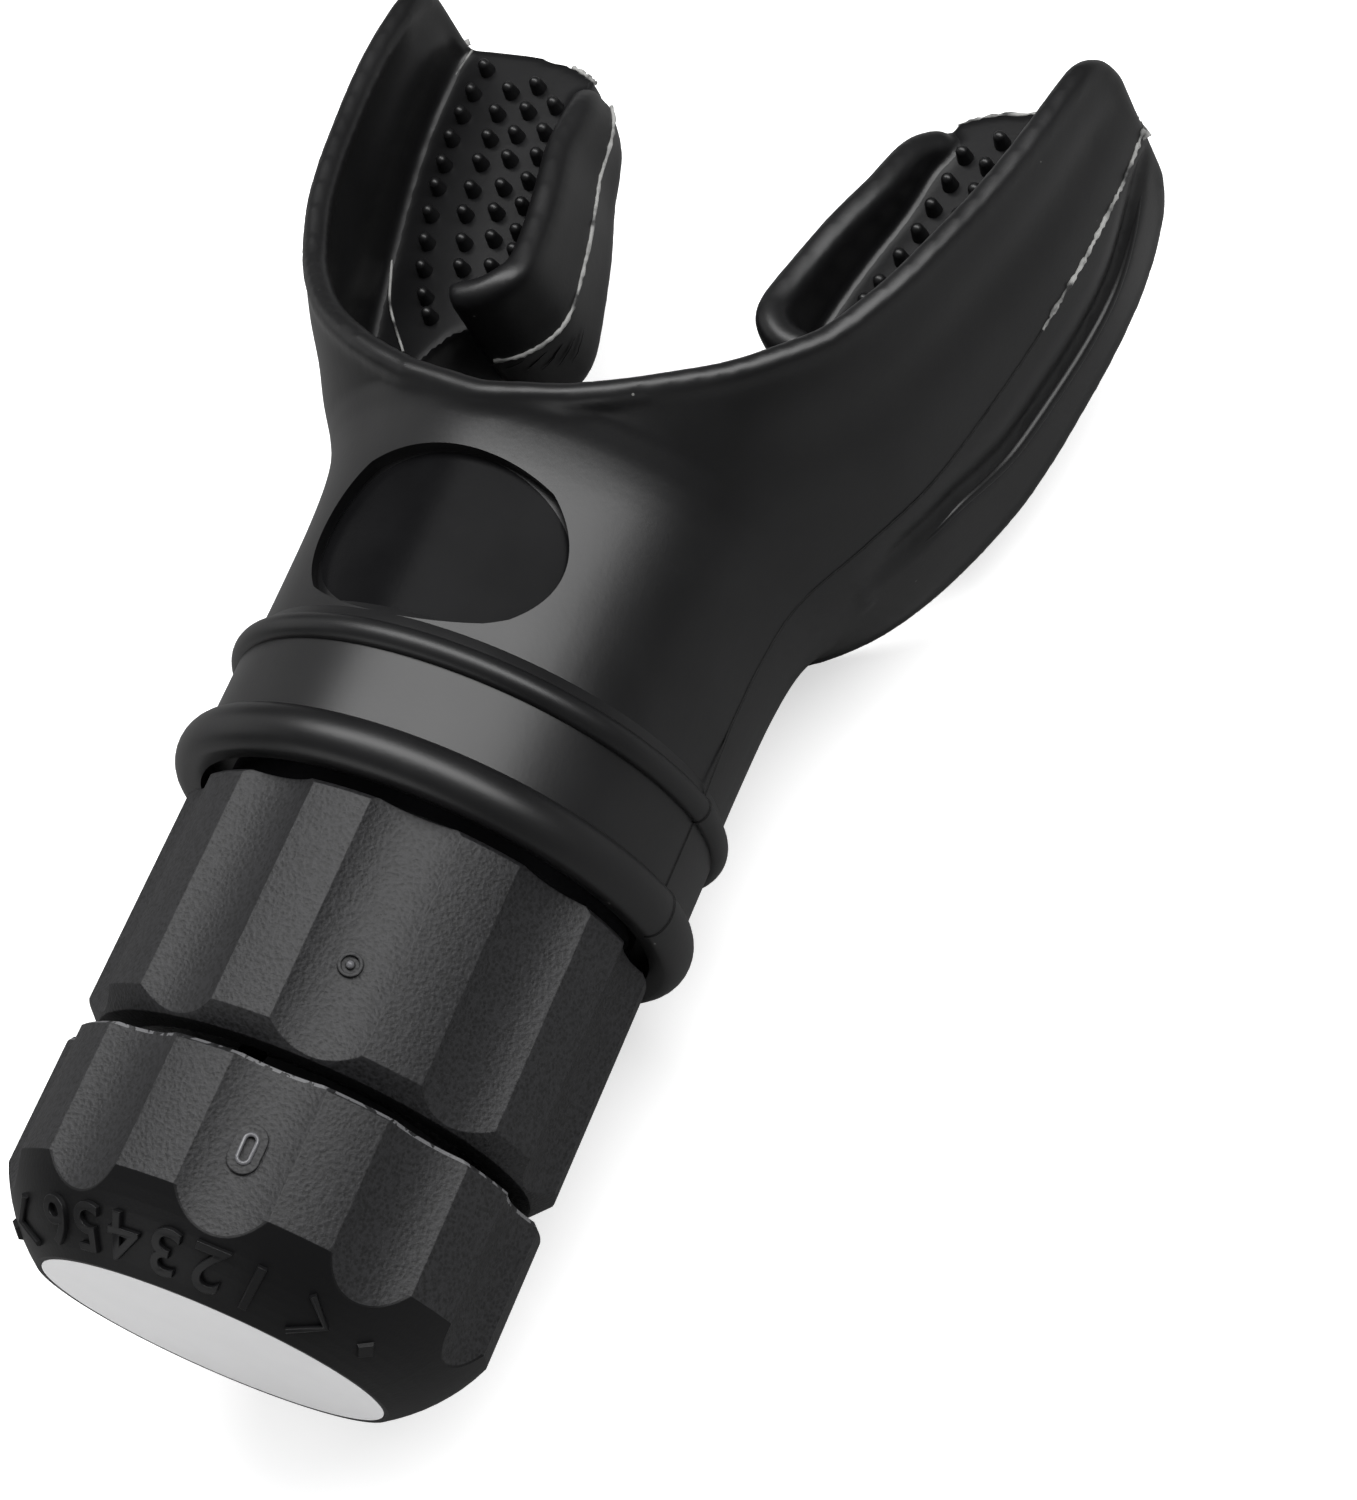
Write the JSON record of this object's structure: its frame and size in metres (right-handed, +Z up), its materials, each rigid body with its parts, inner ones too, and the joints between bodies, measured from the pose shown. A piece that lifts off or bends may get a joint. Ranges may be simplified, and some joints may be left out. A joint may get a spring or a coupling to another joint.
{
  "type": "breathing trainer",
  "caption": "Hand-held breathing trainer: rubber bite mouthpiece with two wings on a fluted barrel, and a screw cap that opens a ring-shaped air gap.",
  "frame": {"origin": "centre of the cap's flat end face, which the round label fills", "axes": "+Y along the airway from the cap to the bite wings, +Z up out of the side with the oval pocket, +X across to the right wing; the part lies on its side on a surface"},
  "size_m": [0.056, 0.0957, 0.036],
  "materials": {
    "mouth_rubber": "satin black moulded rubber",
    "charcoal_plastic": "charcoal plastic with a fine leathery grain",
    "black_plastic": "smooth black plastic",
    "ring_rubber": "greased black rubber",
    "spring_steel": "bare spring steel",
    "white_label": "white glossy film, bare"
  },
  "bodies": {
    "housing": {"mouthpiece": "mouth_rubber", "barrel": "charcoal_plastic", "airway_tube": "black_plastic"},
    "seal": {"drag_ring": "ring_rubber"},
    "cap": {"valve_stem": "charcoal_plastic", "retaining_ring": "spring_steel", "adjusting_cap": "charcoal_plastic", "end_label": "white_label"}
  },
  "joints": [
    {"name": "cap_travel", "type": "slide", "parent": "housing", "child": "seal", "axis": [0, -1, 0], "range_m": [-0.0012, 0.004]},
    {"name": "cap_turn", "type": "hinge", "parent": "seal", "child": "cap", "pos_m": [0, 0, 0], "axis": [0, -1, 0], "range_deg": [-216, 720]}
  ],
  "couplings": [
    {"joint": "cap_travel", "follows": "cap_turn", "m_per_rad": 0.0003183}
  ]
}
